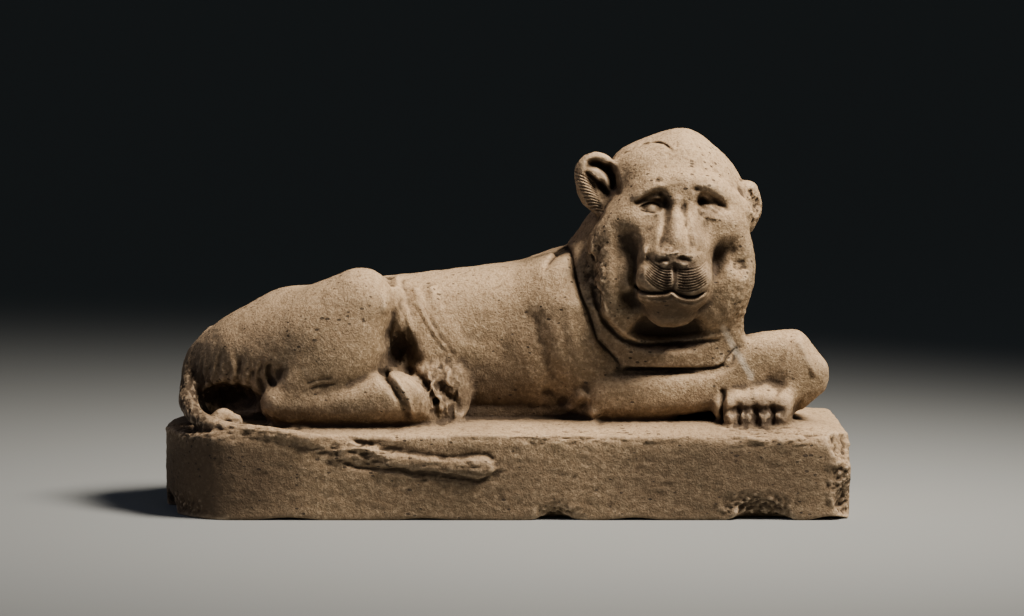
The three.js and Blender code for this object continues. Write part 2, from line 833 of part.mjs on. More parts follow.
// The skin is trimmed by the block, which leaves the underside flat to stand on.
function lion() {
  const { places, faces } = simplify(carve(), FACE_COUNT, worth);
  const skin = new THREE.BufferGeometry()
    .setAttribute("position", new THREE.Float32BufferAttribute(places, 3))
    .setIndex(new THREE.BufferAttribute(Uint32Array.from(faces), 1));
  const block = new THREE.BoxGeometry(BLOCK.length, BLOCK.width, BLOCK.height);
  block.deleteAttribute("normal");
  block.deleteAttribute("uv");
  block.translate(0, 0, BLOCK.height / 2);
  const mesh = solidOf(skin).intersect(solidOf(mergeVertices(block))).getMesh();
  return new THREE.BufferGeometry()
    .setAttribute("position", new THREE.BufferAttribute(mesh.vertProperties, 3))
    .setIndex(new THREE.BufferAttribute(mesh.triVerts, 1));
}

const limestone = new THREE.MeshStandardMaterial({ color: 0xb39a7a, roughness: 0.92, metalness: 0 });
const figure = new THREE.Mesh(lion(), limestone);
figure.name = "lion";

const part = new THREE.Group();
part.add(figure);
export default part;
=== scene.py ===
# %% [markdown]
# # A lion carved in limestone
# The object is one block of stone: a lion lying on a low plinth, its head turned to the side.
# The solid model already has the size, the pose and every main form. This lesson starts from a copy
# of that solid and works it as a carver would: a finer skin first, then the face and paws,
# then lines, then the wear of a long life. Everything is in metres, with +Z up, where the solid is.

# %% Load the solid model
import json
import math

import bmesh
import bpy
import numpy as np
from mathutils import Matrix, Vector, noise
from mathutils.bvhtree import BVHTree

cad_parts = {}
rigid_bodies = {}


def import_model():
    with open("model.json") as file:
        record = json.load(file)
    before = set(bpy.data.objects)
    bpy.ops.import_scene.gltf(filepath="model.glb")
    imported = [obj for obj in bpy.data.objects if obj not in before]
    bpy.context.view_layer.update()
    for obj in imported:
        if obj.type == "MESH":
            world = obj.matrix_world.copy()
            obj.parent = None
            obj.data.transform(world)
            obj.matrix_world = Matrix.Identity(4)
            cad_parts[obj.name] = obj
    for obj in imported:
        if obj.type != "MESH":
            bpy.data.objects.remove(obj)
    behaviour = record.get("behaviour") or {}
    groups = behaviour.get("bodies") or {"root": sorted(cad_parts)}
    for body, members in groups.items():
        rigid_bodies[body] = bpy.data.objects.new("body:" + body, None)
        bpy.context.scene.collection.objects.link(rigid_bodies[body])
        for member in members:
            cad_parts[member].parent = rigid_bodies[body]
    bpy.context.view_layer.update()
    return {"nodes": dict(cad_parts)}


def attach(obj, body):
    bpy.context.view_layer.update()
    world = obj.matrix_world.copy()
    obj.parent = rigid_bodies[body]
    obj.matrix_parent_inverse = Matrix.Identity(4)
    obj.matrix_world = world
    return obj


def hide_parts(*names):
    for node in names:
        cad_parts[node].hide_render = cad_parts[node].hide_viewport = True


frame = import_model()
solid = frame["nodes"]["lion"]
MM = 0.001

# %% [markdown]
# ## The camera
# The lion is seen square on to its long side, from well back and a little above. A long lens
# keeps the plinth's edges nearly parallel. A lens in millimetres only means something next to a sensor
# width, so both are set, and the tilt is a plain turn about X.

# %% Camera
CAMERA_PLACE = Vector((12.5, -6050, 810)) * MM
CAMERA_TILT = math.radians(4.725)
LENS = 136.16
SENSOR = 36

camera = bpy.data.objects.new("camera", bpy.data.cameras.new("camera"))
camera.data.sensor_width = SENSOR
camera.data.lens = LENS
camera.location = CAMERA_PLACE
camera.rotation_euler = (math.pi / 2 - CAMERA_TILT, 0, 0)
bpy.context.scene.collection.objects.link(camera)
bpy.context.scene.camera = camera
print("camera", round(-CAMERA_PLACE.y, 2), "m from the lion's middle plane")

# %% [markdown]
# ## Floor and light
# A pale, matt floor stands for the studio. It is one face, so wide that its far edge is out of sight.
# One lamp hangs high on the right and a little in front: it lights the forehead and back and leaves the
# sockets, the hollow under the chin and the belly dark. A weak lamp in front, a weaker cool one on the
# left and a dim grey sky fill in.

# %% Colour function
def colour(code):
    """A linear colour with alpha from an sRGB hex code."""
    parts = [int(code[i:i + 2], 16) / 255 for i in (1, 3, 5)]
    return (*[c / 12.92 if c <= 0.04045 else ((c + 0.055) / 1.055) ** 2.4 for c in parts], 1)


print("the grey #808080 is", round(colour("#808080")[0], 3), "in linear light")

# %% Floor
FLOOR_REACH = 300

floor_shape = bmesh.new()
bmesh.ops.create_grid(floor_shape, x_segments=1, y_segments=1, size=FLOOR_REACH)
floor_mesh = bpy.data.meshes.new("floor")
floor_shape.to_mesh(floor_mesh)
floor_shape.free()
floor = bpy.data.objects.new("floor", floor_mesh)
bpy.context.scene.collection.objects.link(floor)

floor_paint = bpy.data.materials.new("pale_floor")
floor_paint.use_nodes = True
floor_shader = floor_paint.node_tree.nodes["Principled BSDF"]
floor_shader.inputs["Base Color"].default_value = colour("#8d9192")
floor_shader.inputs["Roughness"].default_value = 0.8
floor_mesh.materials.append(floor_paint)
print("floor", 2 * FLOOR_REACH, "m wide")

# %% Lamps and sky
LAMP_AIM = Vector((40, 0, 260)) * MM
LAMPS = {
    "key": {"place": (2.1, -1.0, 3.3), "size": 1.3, "watts": 50, "tint": "#fff3e4", "spread": 60},
    "fill": {"place": (0.9, -4.2, 1.7), "size": 1.6, "watts": 0.9, "tint": "#f4f4ff", "spread": 90},
    "side": {"place": (-2.9, -1.7, 1.5), "size": 1.2, "watts": 2.4, "tint": "#d9dcff", "spread": 90},
}

for name, lamp in LAMPS.items():
    light = bpy.data.lights.new(name, "AREA")
    light.size = lamp["size"]
    light.energy = lamp["watts"]
    light.color = colour(lamp["tint"])[:3]
    light.spread = math.radians(lamp["spread"])
    holder = bpy.data.objects.new(name, light)
    holder.location = lamp["place"]
    holder.rotation_euler = (LAMP_AIM - holder.location).to_track_quat("-Z", "Y").to_euler()
    bpy.context.scene.collection.objects.link(holder)

sky = bpy.data.worlds.new("studio")
sky.use_nodes = True
sky.node_tree.nodes["Background"].inputs["Color"].default_value = colour("#b4bec2")
sky.node_tree.nodes["Background"].inputs["Strength"].default_value = 0.055
bpy.context.scene.world = sky
print("lamps:", ", ".join(LAMPS))

# %% [markdown]
# ## A finer skin for the block
# The solid has a few thousand flat facets. A carved stone has none, so its copy is merged, turned into
# an even grid of small faces by a voxel Remesh, and softened until the facets are gone. A Subdivision
# Surface would round the plinth's corners by the size of its large facets, which a remesh doesn't do.

# %% Merged copy
MERGE = 0.01 * MM

stone_shape = bmesh.new()
stone_shape.from_mesh(solid.data)
bmesh.ops.remove_doubles(stone_shape, verts=stone_shape.verts, dist=MERGE)
stone_mesh = bpy.data.meshes.new("lion_stone")
stone_shape.to_mesh(stone_mesh)
stone_shape.free()
stone = bpy.data.objects.new("lion_stone", stone_mesh)
bpy.context.scene.collection.objects.link(stone)
print("merged copy:", len(stone_mesh.vertices), "corners,", len(stone_mesh.polygons), "facets")

# %% Remesh and soften
GRAIN = 2.2 * MM
GRAIN_ROUNDS = 9


def rework(size, rounds):
    """Gives the stone an even skin of faces of that size, softened that many times."""
    grid = stone.modifiers.new("grid", "REMESH")
    grid.mode = "VOXEL"
    grid.voxel_size = size
    soft = stone.modifiers.new("soft", "SMOOTH")
    soft.factor = 0.5
    soft.iterations = rounds
    keep()


def keep():
    """Makes what the stone's modifiers show its own mesh."""
    shown = stone.evaluated_get(bpy.context.evaluated_depsgraph_get())
    old = stone.data
    stone.data = bpy.data.meshes.new_from_object(shown)
    stone.modifiers.clear()
    bpy.data.meshes.remove(old)


rework(GRAIN, GRAIN_ROUNDS)
print("even skin:", len(stone.data.polygons), "faces")

# %% [markdown]
# ## Hands on the skin
# Sculpting by code is moving points. The skin is read into two arrays, where each point is and which
# way it faces, and every stroke below pushes the points near a line or inside a patch. Lines are given
# as a few (x, z) places in millimetres, as one would draw them on the lion's side, and a smooth curve runs
# through them. A stroke touches only skin that faces its side, between two depths. Sculpt mode would do
# the same by hand. In code each stroke keeps its place and depth, and every run gives the same stone.

# %% Read and write the skin
NEAR, FAR = -1, 1


def read_skin():
    """The skin's points in millimetres and the way each one faces."""
    mesh = stone.data
    points = np.empty(3 * len(mesh.vertices), np.float32)
    ways = np.empty_like(points)
    mesh.vertices.foreach_get("co", points)
    mesh.vertex_normals.foreach_get("vector", ways)
    return points.reshape(-1, 3).astype(float) / MM, ways.reshape(-1, 3).astype(float)


def write_skin():
    """Puts the moved points back into the mesh."""
    stone.data.vertices.foreach_set("co", (at * MM).astype(np.float32).ravel())
    stone.data.update()


at, out = read_skin()
print("points on the skin:", len(at))

# %% Curves and distances
STEPS_PER_SPAN = 10


def curve(places):
    """A smooth line through the places, in short steps."""
    p = np.array(places, float)
    p = np.vstack([2 * p[0] - p[1], p, 2 * p[-1] - p[-2]])
    t = np.linspace(0, 1, STEPS_PER_SPAN, endpoint=False)[:, None]
    spans = [
        0.5 * (2 * b + (c - a) * t + (2 * a - 5 * b + 4 * c - d) * t**2 + (3 * b - a - 3 * c + d) * t**3)
        for a, b, c, d in zip(p, p[1:], p[2:], p[3:])
    ]
    return np.vstack([*spans, p[-2]])


def beside(line, spots):
    """How far each spot is from a line, and how far along the line it is, from 0 to 1."""
    step = np.diff(line, axis=0)
    share = ((spots[:, None] - line[:-1]) * step).sum(2) / (step**2).sum(1)
    share = np.clip(share, 0, 1)
    gaps = np.linalg.norm(spots[:, None] - line[:-1] - share[..., None] * step, axis=2)
    best = gaps.argmin(1)
    rows = np.arange(len(spots))
    return gaps[rows, best], (best + share[rows, best]) / len(step)


print("a curve has", STEPS_PER_SPAN, "steps between two places")

# %% Strokes
TIP = 0.14
ALL_DEPTHS = (-250, 40)
LEAST_FACING = 0.04


def within(low, high, depths, side):
    """The points inside a box of (x, z) and a range of depths that face a side."""
    flat = at[:, [0, 2]]
    deep = at[:, 1] * -side
    picked = ((flat > low) & (flat < high)).all(1) & (out[:, 1] * side > LEAST_FACING)
    return np.flatnonzero(picked & (deep > depths[0]) & (deep < depths[1]))


def stroke(places, width, height, depths=ALL_DEPTHS, side=NEAR, vee=False, tip=TIP):
    """Raises a band along a line, or cuts it where the height is negative."""
    line = curve(places)
    picked = within(line.min(0) - width, line.max(0) + width, depths, side)
    gap, share = beside(line, at[picked][:, [0, 2]])
    near = np.clip(1 - gap / width, 0, 1)
    band = near if vee else np.clip(1 - (gap / width) ** 2, 0, 1) ** 2
    ends = np.clip(np.minimum(share, 1 - share) / tip, 0, 1) if tip else 1
    at[picked, 1] += side * height * band * ends


print("a stroke fades out over", TIP, "of its length at each end")

# %% Patches
PULL_FADE = 24


def patch(middle, reach, height, turn=0, depths=ALL_DEPTHS, side=NEAR):
    """Raises a rounded patch, or sinks it where the height is negative."""
    size = max(reach)
    centre = np.array(middle, float)
    picked = within(centre - size, centre + size, depths, side)
    bell = bell_at(at[picked][:, [0, 2]] - centre, reach, turn)
    at[picked, 1] += side * height * bell


def bell_at(flat, reach, turn=0):
    """A smooth hill of height 1 over an ellipse, turned by that many degrees."""
    c, s = math.cos(math.radians(turn)), math.sin(math.radians(turn))
    u = (flat[:, 0] * c + flat[:, 1] * s) / reach[0]
    v = (flat[:, 1] * c - flat[:, 0] * s) / reach[1]
    return np.clip(1 - u**2 - v**2, 0, 1) ** 2


def pull(middle, reach, shift, depths=ALL_DEPTHS):
    """Drags the stone of a rounded patch by an (x, z) way, whichever side it faces."""
    centre = np.array(middle, float)
    inside = np.minimum(at[:, 1] - depths[0], depths[1] - at[:, 1])
    bell = bell_at(at[:, [0, 2]] - centre, reach) * np.clip(inside / PULL_FADE, 0, 1)
    at[:, [0, 2]] += bell[:, None] * np.array(shift, float)


print("a pull fades out over", PULL_FADE, "mm of depth")

# %% A softening hand
SOFT_SHARE = 0.7


def soften(middle, reach, rounds, turn=0, depths=ALL_DEPTHS, side=NEAR):
    """Evens out the skin over a rounded patch."""
    centre = np.array(middle, float)
    picked = within(centre - max(reach), centre + max(reach), depths, side)
    rank = np.full(len(at), -1)
    rank[picked] = np.arange(len(picked))
    pairs = rank[skin_edges()]
    a, b = pairs[(pairs >= 0).all(1)].T
    share = np.maximum(np.bincount(a, minlength=len(picked)) + np.bincount(b, minlength=len(picked)), 1)
    bell = SOFT_SHARE * np.sqrt(bell_at(at[picked][:, [0, 2]] - centre, reach, turn))
    spots = at[picked]
    for _ in range(rounds):
        for axis in range(3):
            held = spots[:, axis]
            total = np.bincount(a, held[b], len(picked)) + np.bincount(b, held[a], len(picked))
            spots[:, axis] = held + bell * (total / share - held)
    at[picked] = spots


def skin_edges():
    """The pairs of points that an edge joins."""
    pairs = np.empty(2 * len(stone.data.edges), np.int32)
    stone.data.edges.foreach_get("vertices", pairs)
    return pairs.reshape(-1, 2)


print("edges on the skin:", len(skin_edges()))

# %% [markdown]
# ## The face
# The lion's face is long and flat, with a bony brow, a straight nose and a square muzzle. The sockets are
# cut deepest at their inner corners, where the drill went in, and the right one is the deeper. Cuts this
# deep stretch the skin, so the stone gets a new even skin after them, before the fine lines.

# %% Brows, sockets and eyes
EYES = (-160, -85)

EYE_LINES = [
    # a line of places, its half-width, and its height
    ([(194, 486), (212, 498), (230, 507), (252, 511)], 8, 3),
    ([(292, 509), (312, 508), (330, 499), (348, 484)], 8, 3),
    ([(198, 478), (213, 486), (229, 494), (248, 499)], 6, -7),
    ([(238, 497), (248, 488), (250, 474)], 6, -8),
    ([(204, 474), (215, 481), (227, 484), (238, 481), (245, 474)], 3, 4.5),
    ([(207, 472), (217, 466.5), (229, 464.5), (243, 468)], 3, 3.5),
    ([(296, 492), (308, 496), (322, 488), (336, 477), (346, 466)], 5, -5),
    ([(301, 479), (312, 477), (324, 471), (334, 463)], 3, 4),
    ([(305, 463), (317, 460), (331, 458)], 3, 3),
    ([(299, 474), (299, 466), (304, 461)], 5, -5),
]
EYE_PATCHES = [
    # the middle, the reach both ways, the height and the turn
    ((196, 550), (28, 15), -7, 10),
    ((237, 516), (9, 6), -4, 0),
    ((295, 503), (12, 7), -4, 0),
    ((226, 474), (15, 8), 4.5, 0),
    ((303, 486), (10, 11), -13, 20),
    ((313, 469), (13, 7), 4, -15),
    ((216, 452), (26, 13), 3, 10),
]
for line, width, height in EYE_LINES:
    stroke(line, width, height, EYES)
for middle, reach, height, turn in EYE_PATCHES:
    patch(middle, reach, height, turn, EYES)
print("eye strokes:", len(EYE_LINES) + len(EYE_PATCHES))

# %% Nose, muzzle and mouth
MUZZLE = (-220, -120)

MUZZLE_LINES = [
    ([(264, 500), (262, 475), (262, 445), (262, 414)], 15, 5),
    ([(252, 486), (249, 462), (244, 440), (237, 414)], 8, -6),
    ([(274, 486), (277, 462), (281, 440), (288, 412)], 8, -5),
    ([(230, 403), (236, 396), (243, 399), (250, 396)], 4, -4),
    ([(262, 397), (270, 400), (279, 399), (285, 394)], 4, -4),
    ([(258, 395), (260, 386), (259, 377)], 4, -3.5),
    ([(259, 380), (259, 366), (257, 352)], 4, -1.5),
    ([(204, 412), (204, 385), (202, 362)], 7, 5),
    ([(316, 408), (317, 380), (314, 356)], 7, 4),
]
MUZZLE_PATCHES = [
    ((260, 320), (92, 72), -5, 0),
    ((260, 410), (30, 11), 4, 0),
    ((244, 392), (8, 6), 5, 0),
    ((274, 391), (9, 5), 3, 0),
    ((259, 366), (14, 34), 5, 0),
    ((212, 376), (18, 34), 4, 0),
    ((308, 374), (16, 34), 3, 0),
]
for line, width, height in MUZZLE_LINES:
    stroke(line, width, height, MUZZLE)
for middle, reach, height, turn in MUZZLE_PATCHES:
    patch(middle, reach, height, turn, MUZZLE)
print("muzzle strokes:", len(MUZZLE_LINES) + len(MUZZLE_PATCHES))

# %% Cheeks and mane rim
CHEEKS = (-160, -20)

CHEEK_LINES = [
    ([(190, 428), (190, 400), (190, 370), (192, 340)], 18, 14),
    ([(194, 400), (193, 375), (195, 350), (199, 325)], 16, 13),
    ([(169, 455), (182, 438), (194, 418), (200, 396)], 8, -5),
    ([(140, 428), (136, 400), (137, 375), (140, 350), (146, 325), (156, 300)], 13, 16),
    ([(315, 374), (322, 391), (332, 402), (342, 406), (353, 402), (361, 388), (365, 374)], 4, -3),
    ([(175, 534), (177, 518), (172, 498), (156, 474), (141, 440), (131, 408), (127, 370)], 7, 6),
    ([(198, 296), (215, 280), (250, 273), (290, 276), (318, 294)], 24, -16),
]
for line, width, height in CHEEK_LINES:
    stroke(line, width, height, CHEEKS)

CHEEK_PATCHES = [
    ((210, 412), (16, 28), 10),
    ((192, 444), (32, 30), 10),
    ((325, 396), (18, 22), -8),
    ((356, 400), (18, 22), 9),
]
for middle, reach, height in CHEEK_PATCHES:
    patch(middle, reach, height, 0, CHEEKS)
print("cheek strokes:", len(CHEEK_LINES) + len(CHEEK_PATCHES))

# %% Softer cheeks
SOFT_ROUNDS = 90
SOFT_SPOTS = [
    ((190, 440), (40, 40)),
    ((176, 400), (26, 60)),
    ((143, 380), (26, 80)),
    ((352, 414), (36, 40)),
    ((345, 296), (50, 40)),
]
for middle, reach in SOFT_SPOTS:
    soften(middle, reach, SOFT_ROUNDS, 0, CHEEKS)
print("softened spots:", len(SOFT_SPOTS))

# %% [markdown]
# ## The ears
# The left ear is open: a bowl with a tuft of hair lying across it, shaded above and below, and combed
# lines fanning over its lower lobe. The right ear is seen edge on and has lost its upper rim. The solid
# has both ears as plain bowls, so strokes are enough here, and a separate piece would show a seam.

# %% Ear bowls
EARS = (-110, 20)
EAR_LINES = [
    ([(126, 539), (146, 537), (160, 528), (169, 513), (171, 496)], 10, -15),
    ([(158, 540), (169, 526), (173, 508), (169, 491)], 10, -13),
    ([(124, 529), (137, 518), (148, 508)], 4, -6),
    ([(146, 512), (156, 501), (165, 487)], 8, -12),
    ([(120, 532), (136, 523), (150, 512), (166, 499)], 4, 4),
    ([(109, 516), (108, 534), (118, 551), (138, 558), (160, 554)], 4, 4),
    ([(380, 500), (384, 486), (392, 478)], 6, -7),
    ([(379, 478), (380, 460), (384, 445)], 5, -6),
]
for line, width, height in EAR_LINES:
    stroke(line, width, height, EARS)
print("ear strokes:", len(EAR_LINES))

# %% [markdown]
# ## The body
# The body is plain beside the head: smooth flanks, pleats of loose skin before the thigh, creases between
# the toes, and the tail's edge on the plinth. On the real stone these are chisel cuts a few millimetres
# deep. The far side isn't seen, so it gets the same mane edge and thigh line and nothing more.

# %% Pleats, folds and thigh
BODY_LINES = [
    # a line of places, its half-width, and its height
    ([(-163, 332), (-148, 280), (-133, 247)], 4, -2),
    ([(-156, 335), (-141, 278), (-126, 246)], 4, 1.5),
    ([(-143, 328), (-113, 278), (-90, 248)], 4, -2),
    ([(-136, 330), (-105, 278), (-82, 248)], 4, 1.5),
    ([(-124, 314), (-92, 262), (-74, 244)], 4, -2),
    ([(-117, 316), (-84, 264), (-66, 246)], 4, 1.2),
    ([(-170, 392), (-172, 362), (-174, 336), (-178, 308)], 17, 13),
    ([(45, 322), (65, 252), (80, 200)], 15, -2),
    ([(84, 330), (96, 262), (108, 205)], 13, -2),
    ([(58, 190), (82, 178), (100, 168)], 13, -5),
    ([(98, 158), (112, 172), (126, 190)], 14, 8),
    ([(430, 284), (458, 284), (478, 264), (494, 234)], 11, 4),
    ([(-305, 205), (-284, 212), (-262, 215)], 4, -3),
    ([(-300, 197), (-280, 203), (-256, 206)], 4, -3),
    ([(-362, 236), (-360, 215), (-352, 196)], 8, -8),
]
RUMP_FOLDS = [
    # where it is, from which height to which, its half-width and its depth
    (-456, 188, 236, 5, -2),
    (-441, 172, 252, 7, -3),
    (-424, 176, 226, 5, -2),
    (-408, 166, 244, 8, -4),
    (-389, 176, 228, 6, -3),
    (-374, 184, 240, 6, -4),
]
# The pleats and the stump start from an evened skin, and the notch behind the knee is filled.
soften((-112, 292), (66, 66), 30)
soften((-95, 190), (56, 60), 24)
pull((-174, 345), (20, 40), (0, 8), (-110, 10))
for line, width, height in BODY_LINES:
    stroke(line, width, height)
for x, low, high, width, height in RUMP_FOLDS:
    stroke([(x + 3, high), (x - 3, (low + high) / 2), (x + 4, low)], width, height)
# Last come the dark hollow before the thigh and the belly's foot, where it runs into the plinth.
patch((-153, 254), (30, 36), -11, 20)
stroke([(-72, 146), (36, 146), (132, 148)], 22, 14, tip=0)
print("lines on the body:", len(BODY_LINES) + len(RUMP_FOLDS))

# %% [markdown]
# ## Paws, tail and plinth
# The left paw is a worn dome with short toes below it, and the right foreleg ends in a blunt wedge. Both
# are dragged into place first, which a stroke can't do, since it only moves skin in depth. The tail lies
# on the plinth's front as a low band with a tuft. The plinth's foot is chipped where it was levered.

# %% Paws and toes
TOE_GAPS = (361, 387, 413)
THUMB_GAP = 337
KNUCKLES = [(338, 163), (384, 164), (434, 163)]
HIND_CREASES = [
    [(-180, 224), (-164, 206), (-149, 180), (-143, 152)],
    [(-146, 228), (-122, 205), (-107, 180), (-101, 144)],
    [(-104, 208), (-88, 190), (-81, 168), (-80, 144)],
]
PAWS = (-190, -70)

PULLS = [
    # the middle, the reach both ways, the shift and the depths
    ((388, 165), (130, 80), (-12, 0), (-220, -104)),
    ((482, 262), (48, 42), (-15, -4), (-140, 120)),
    ((484, 156), (38, 36), (-11, 2), (-140, 120)),
]
for middle, reach, shift, depths in PULLS:
    pull(middle, reach, shift, depths)
stroke([(446, 266), (456, 261), (464, 246), (476, 226), (484, 208)], 8, 4, PAWS)
stroke(KNUCKLES, 9, -5, PAWS, tip=0.05)
for x in TOE_GAPS:
    stroke([(x, 194), (x, 184), (x, 172)], 9, 4, PAWS, tip=0.3)
    stroke([(x - 1, 170), (x + 1, 160), (x, 138)], 4, -6, PAWS, vee=True, tip=0.1)
stroke([(THUMB_GAP - 1, 196), (THUMB_GAP + 1, 176), (THUMB_GAP, 150)], 6, -8, PAWS, vee=True)
stroke(HIND_CREASES[0], 11, 9, PAWS)
for crease in HIND_CREASES:
    stroke(crease, 4, -4, PAWS, vee=True)
print("toe gaps and creases:", len(TOE_GAPS) + len(HIND_CREASES))

# %% Tail and tuft
FRONT, FRONT_AND_RIM = (-230, -170), (-230, -165)
TAIL_BELOW = [
    (-250, 91), (-220, 81), (-190, 79), (-160, 78), (-140, 73), (-100, 70), (-60, 64), (-38, 61), (-17, 72),
]
TAIL_ABOVE = [(-275, 134), (-200, 117), (-140, 105), (-90, 97), (-50, 101), (-28, 101), (-14, 91)]
TAIL_TIP = 0.05
TUFT = (-46, 81)

stroke(TAIL_BELOW, 5, -6, FRONT, tip=TAIL_TIP)
patch(TUFT, (32, 19), 4, 0, FRONT)
stroke(TAIL_ABOVE, 6, -3.5, FRONT_AND_RIM, tip=TAIL_TIP)
print("tail edges run to the tuft at", TUFT)

# %% Chipped foot of the plinth
FOOT_CHIPS = [
    # where it is along the front, its half-length, and how high it reaches
    (-330, 60, 4),
    (-120, 50, 3),
    (78, 36, 11),
    (200, 50, 4),
    (392, 60, 13),
    (500, 40, 6),
]
CHIP_FADE = 3
CHIP_DEPTHS = (-260, -150)

for x, length, height in FOOT_CHIPS:
    pull((x, 0), (length, CHIP_FADE * height), (0, height), CHIP_DEPTHS)
print("chips along the plinth's foot:", len(FOOT_CHIPS))

# %% Far side
FAR_LINES = [
    ([(-150, 352), (-176, 316), (-190, 270), (-180, 225)], 12, -6),
    ([(72, 384), (97, 400), (110, 372), (120, 330), (140, 280), (168, 244), (200, 225)], 4, -5),
    ([(60, 320), (74, 252), (88, 200)], 15, -4),
]
for line, width, height in FAR_LINES:
    stroke(line, width, height, side=FAR)
print("lines on the far side:", len(FAR_LINES))

# %% [markdown]
# ## Wear and broken places
# Limestone is soft. The whole skin is a little uneven from chisel and rubbing stone, the edges are rubbed
# round, and some places are broken: the near hind leg's stump, the plinth's edges, the nose and the lower
# right of the mane. Noise with several sizes of lump in it stands for that. Each broken place is given by
# its middle, its reach and how rough it is, and the roughness fades out toward its rim. Stone splits along
# its bed, so the lumps of a place can be stretched: along the plinth they run level, in the stump upright.

# %% Uneven skin
FINE_GRAIN = 2 * MM

write_skin()
rework(FINE_GRAIN, 1)
at, out = read_skin()
print("even skin again:", len(at), "points")


def lumps(spots, size, octaves, stretch=(1, 1, 1)):
    """A bumpy field at some spots, about -1 to 1, with lumps of that size in millimetres."""
    scaled = spots / (size * np.array(stretch))
    return np.array([noise.fractal(spot, 0.8, 2.1, octaves) for spot in scaled.tolist()])


FOOT, FOOT_FADE = 3, 8
WEAR = [
    # the height of the lumps, their size, and how many finer sizes are mixed in
    (0.9, 40, 2),
    (0.6, 11, 2),
    (0.3, 5, 1),
]
under = np.clip((at[:, 2] - FOOT) / FOOT_FADE, 0, 1)
worn = sum(height * lumps(at, size, octaves) for height, size, octaves in WEAR)
at += out * (worn * under)[:, None]
print("uneven by up to", round(float(np.abs(worn).max()), 1), "mm")

# %% Broken places
EVEN, LEVEL, UPRIGHT = (1, 1, 1), (2.6, 1, 0.8), (0.8, 1, 2)
BLOCK_SIZE, CRUMB_SIZE = 26, 9
BROKEN = [
    # the middle, the reach both ways, the roughness, the depths and the way the lumps lie
    ((-95, 192), (50, 58), 5, (-200, -40), UPRIGHT),
    ((-160, 258), (28, 40), 4, (-200, -40), UPRIGHT),
    ((-415, 200), (70, 66), 2.5, (-130, 20), UPRIGHT),
    ((262, 408), (34, 12), 4.5, (-220, -150), EVEN),
    ((350, 295), (60, 50), 1.4, (-170, -20), EVEN),
    ((362, 375), (44, 90), 2, (-160, 20), EVEN),
    ((390, 480), (24, 44), 4, (-140, 20), EVEN),
    ((-225, 106), (90, 28), 5, (-230, -150), LEVEL),
    ((-390, 140), (110, 26), 4.5, (-230, -120), LEVEL),
    ((-80, 75), (90, 26), 2.5, (-230, -150), LEVEL),
    ((0, 60), (700, 110), 1, (-230, -185), LEVEL),
    ((80, 8), (48, 22), 5, (-230, -150), EVEN),
    ((385, 16), (70, 34), 6, (-230, -150), EVEN),
    ((528, 60), (46, 90), 6, (-230, -100), EVEN),
    ((420, 128), (150, 18), 5, (-230, -140), LEVEL),
    ((120, 126), (200, 14), 3, (-230, -160), LEVEL),
    ((-500, 12), (60, 26), 5, (-230, -60), EVEN),
    ((-500, 128), (70, 18), 4, (-230, -20), LEVEL),
    ((143, 375), (24, 80), 4, (-160, -20), EVEN),
    ((384, 150), (66, 28), 3, (-230, -100), UPRIGHT),
    ((-482, 180), (40, 80), 3.5, (-160, 60), UPRIGHT),
    ((262, 560), (60, 30), 1.2, (-140, 20), EVEN),
]
for middle, reach, height, depths, lie in BROKEN:
    centre = np.array(middle, float)
    picked = within(centre - reach, centre + reach, depths, NEAR)
    spots = at[picked]
    blocks = np.minimum(np.abs(lumps(spots, BLOCK_SIZE, 4, lie)), 0.8)
    crumbs = np.abs(lumps(spots, CRUMB_SIZE, 2, lie))
    crumble = 1.5 * blocks - 0.7 * crumbs - 0.6
    bell = bell_at(spots[:, [0, 2]] - centre, reach)
    at[picked] += out[picked] * (height * np.sqrt(bell) * crumble * under[picked])[:, None]
print("broken places:", len(BROKEN))

# %% [markdown]
# ## Fine lines of the head
# Now come the lines that a small chisel cut: the whisker rows, nested like bowls under the nose, the lips,
# the combed lines of the ear, the hairline and the edge of the mane. They are a few millimetres wide,
# so they are cut into the new even skin and not softened again. A line needs several faces across its
# width, so the faces there are split first. Splitting all of them would cost millions of faces.

# %% Smaller faces for the lines
def finer(low, high, depths):
    """Splits the near side's faces inside a box of (x, z) into four."""
    global at, out
    write_skin()
    work = bmesh.new()
    work.from_mesh(stone.data)
    work.verts.ensure_lookup_table()
    picked = set(within(np.array(low), np.array(high), depths, NEAR).tolist())
    split = [edge for edge in work.edges if all(corner.index in picked for corner in edge.verts)]
    bmesh.ops.subdivide_edges(work, edges=split, cuts=1, use_grid_fill=True)
    work.to_mesh(stone.data)
    work.free()
    at, out = read_skin()


FINE_BOXES = [
    # the lowest and highest (x, z) and the depths
    ((195, 330), (325, 412), MUZZLE),
    ((100, 430), (182, 565), EARS),
    ((195, 455), (350, 515), EYES),
    ((165, 535), (275, 580), (-140, 20)),
]
for low, high, depths in FINE_BOXES:
    finer(low, high, depths)
print("points with finer muzzle, ear and eyes:", len(at))

# %% Whisker rows and lips
WHISKER_ROWS = 9
WHISKER_PITCH = 4.1
TOP_ROW = 388
PHILTRUM = 260

for row in range(WHISKER_ROWS):
    level = TOP_ROW - WHISKER_PITCH * row
    left = [(PHILTRUM - 4, level - 4), (244, level - 4), (228, level + 4), (214, level + 17)]
    right = [(PHILTRUM + 4, level - 3), (276, level - 5), (294, level - 2), (310, level + 8)]
    for line in (left, right):
        stroke(line, 1.9, -2.2, MUZZLE, tip=0.1)

